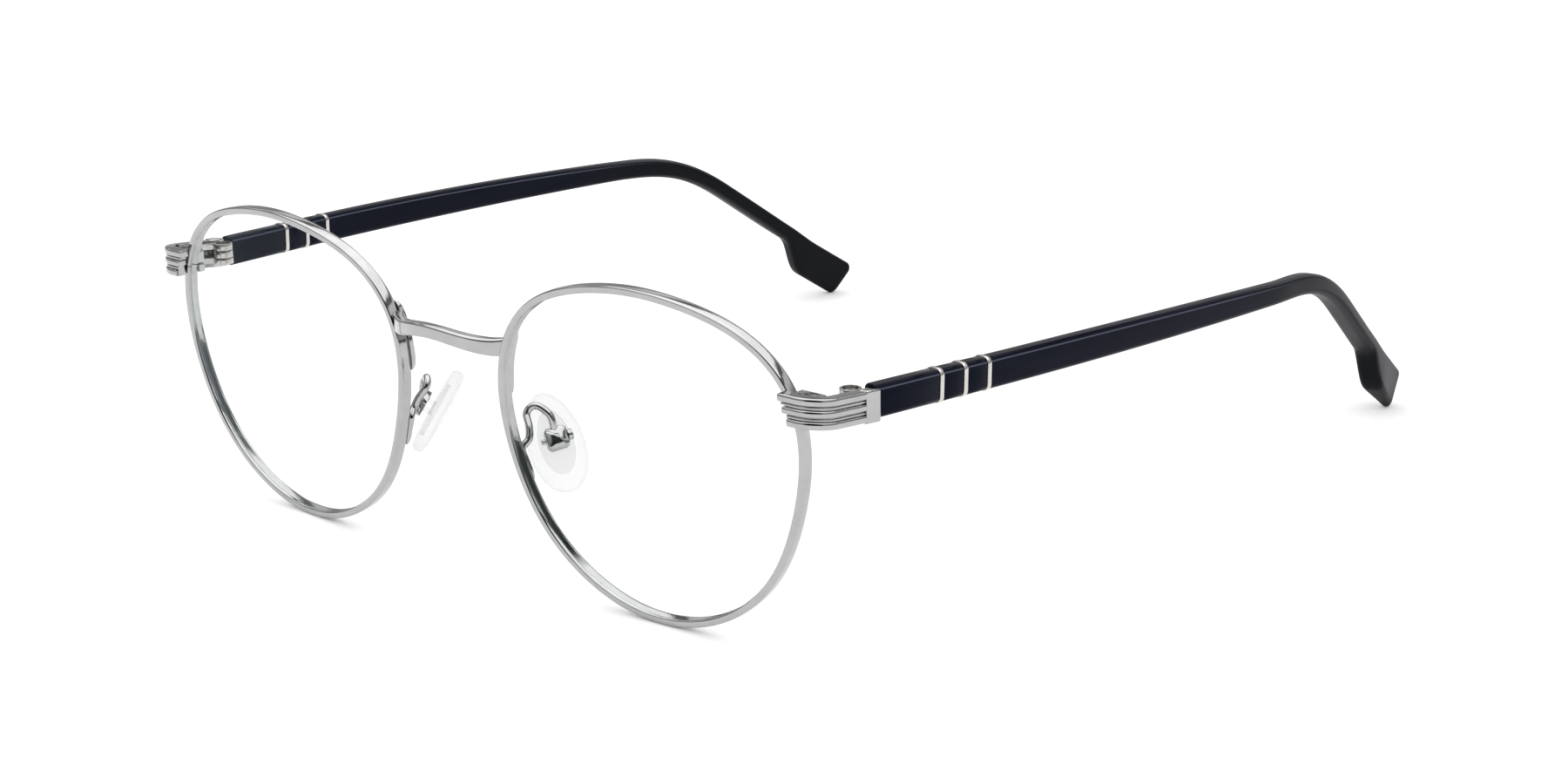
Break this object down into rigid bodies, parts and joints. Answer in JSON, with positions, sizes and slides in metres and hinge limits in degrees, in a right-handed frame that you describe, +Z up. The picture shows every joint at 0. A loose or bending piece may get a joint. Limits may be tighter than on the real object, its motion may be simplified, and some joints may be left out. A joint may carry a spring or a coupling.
{
  "type": "eyeglasses",
  "caption": "Round wire eyeglasses: polished metal rims and bridge, ribbed end pieces, adjustable clear nose pads, navy temples with metal bands that fold on screw hinges.",
  "frame": {"origin": "on the table plane, below the middle of the open glasses' overall box", "axes": "+X to the wearer's left, +Y from the lenses back along the temples, +Z up"},
  "size_m": [0.1358, 0.155, 0.046],
  "materials": {
    "polished_metal": "polished palladium plate, bright, with fine wear",
    "hinge_metal": "polished, slightly warmer barrels, leaves and screws",
    "band_metal": "polished thin inlaid bands",
    "navy_acetate": "high gloss, very dark navy, nearly black towards the tips",
    "lens": "clear, uncoloured, both faces polished",
    "silicone": "clear soft silicone, satin",
    "pad_insert": "clear rigid insert moulded into the pad"
  },
  "bodies": {
    "front": {"rim_left": "polished_metal", "rim_right": "polished_metal", "closing_block_upper_left": "polished_metal", "closing_block_upper_right": "polished_metal", "closing_block_lower_left": "polished_metal", "closing_block_lower_right": "polished_metal", "bridge": "polished_metal", "bridge_plate_left": "polished_metal", "bridge_plate_right": "polished_metal", "end_piece_left": "polished_metal", "end_piece_right": "polished_metal", "pad_arm_left": "polished_metal", "pad_arm_right": "polished_metal", "pad_box_left": "polished_metal", "pad_box_right": "polished_metal", "closing_screw_left": "hinge_metal", "closing_screw_right": "hinge_metal", "front_hinge_left": "hinge_metal", "front_hinge_right": "hinge_metal", "hinge_screw_left": "hinge_metal", "hinge_screw_right": "hinge_metal", "pad_screw_left": "hinge_metal", "pad_screw_right": "hinge_metal", "lens_left": "lens", "lens_right": "lens"},
    "left_pad": {"nose_pad_left": "silicone", "pad_core_left": "pad_insert"},
    "right_pad": {"nose_pad_right": "silicone", "pad_core_right": "pad_insert"},
    "left_temple": {"temple_hinge_left": "hinge_metal", "temple_core_left": "hinge_metal", "temple_block_front_left": "navy_acetate", "temple_block_middle_left": "navy_acetate", "temple_block_rear_left": "navy_acetate", "band_front_left": "band_metal", "band_middle_left": "band_metal", "band_rear_left": "band_metal", "temple_arm_left": "navy_acetate"},
    "right_temple": {"temple_hinge_right": "hinge_metal", "temple_core_right": "hinge_metal", "temple_block_front_right": "navy_acetate", "temple_block_middle_right": "navy_acetate", "temple_block_rear_right": "navy_acetate", "band_front_right": "band_metal", "band_middle_right": "band_metal", "band_rear_right": "band_metal", "temple_arm_right": "navy_acetate"}
  },
  "joints": [
    {"name": "left_temple_fold", "type": "hinge", "parent": "front", "child": "left_temple", "pos_m": [0.0609, -0.06258, 0.03355], "axis": [0, 0, 1], "range_deg": [0, 92]},
    {"name": "right_temple_fold", "type": "hinge", "parent": "front", "child": "right_temple", "pos_m": [-0.0609, -0.06258, 0.03355], "axis": [0, 0, -1], "range_deg": [0, 80]},
    {"name": "left_pad_rock", "type": "hinge", "parent": "front", "child": "left_pad", "pos_m": [0.01334, -0.06684, 0.02028], "axis": [0.5151, 0.834, 0.1977], "range_deg": [-8, 8]},
    {"name": "right_pad_rock", "type": "hinge", "parent": "front", "child": "right_pad", "pos_m": [-0.01334, -0.06684, 0.02028], "axis": [0.5151, -0.834, -0.1977], "range_deg": [-8, 8]}
  ]
}
